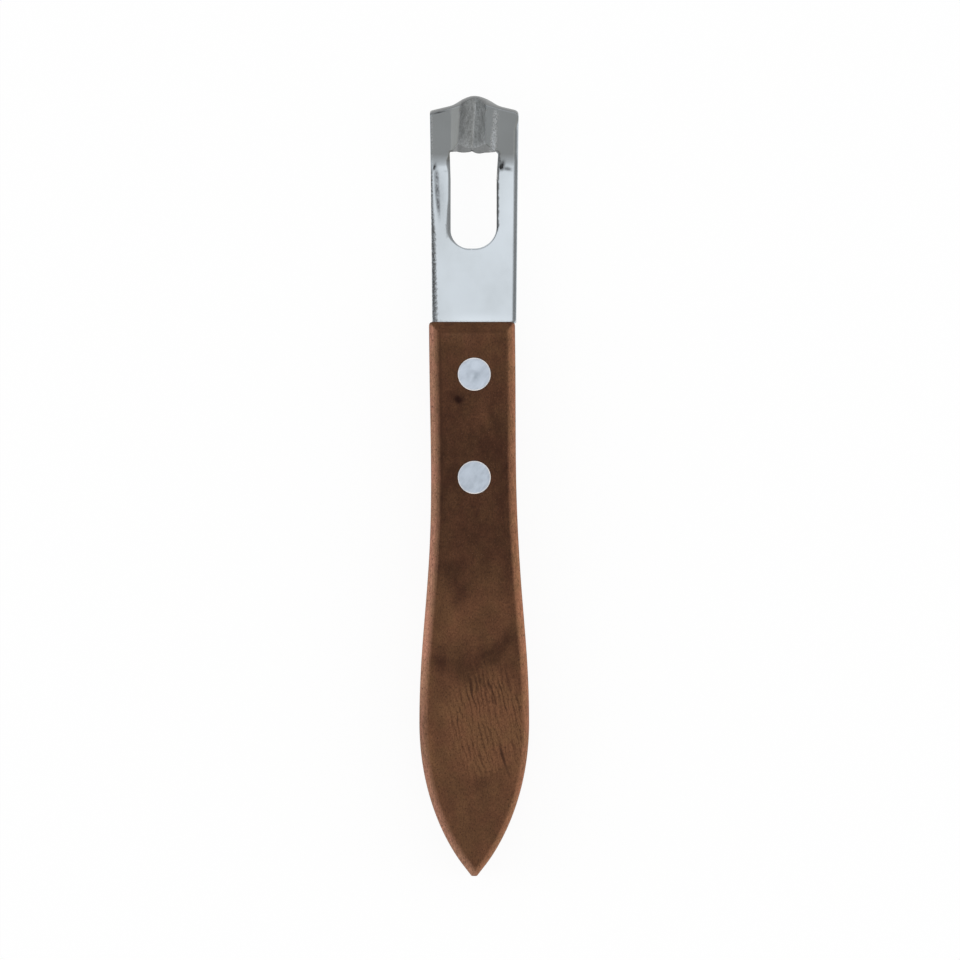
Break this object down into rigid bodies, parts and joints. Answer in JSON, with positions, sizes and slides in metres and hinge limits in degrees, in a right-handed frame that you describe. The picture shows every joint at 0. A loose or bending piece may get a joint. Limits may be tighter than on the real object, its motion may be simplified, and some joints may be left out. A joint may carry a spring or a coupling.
{
  "type": "channel knife",
  "caption": "Channel knife: a steel strip with a grooved, tilted cutter over a window, riveted into a wooden handle that ends in a point. Cuts strips of citrus peel.",
  "frame": {"origin": "On the plane of the handle's back face, under the middle of the knife's overall length and width.", "axes": "+Y runs from the handle's butt to the cutter, +Z out of the front face that the user sees, +X to the right as seen from the front."},
  "size_m": [0.021, 0.15, 0.012],
  "materials": {
    "walnut": "oiled, satin",
    "steel": "satin polished sheet",
    "rivet_metal": "fine sanded flush with the wood"
  },
  "bodies": {
    "root": {"wooden_handle": "walnut", "channel_blade": "steel", "front_rivet_tube": "rivet_metal", "front_rivet_pin": "rivet_metal", "rear_rivet_tube": "rivet_metal", "rear_rivet_pin": "rivet_metal"}
  },
  "joints": []
}
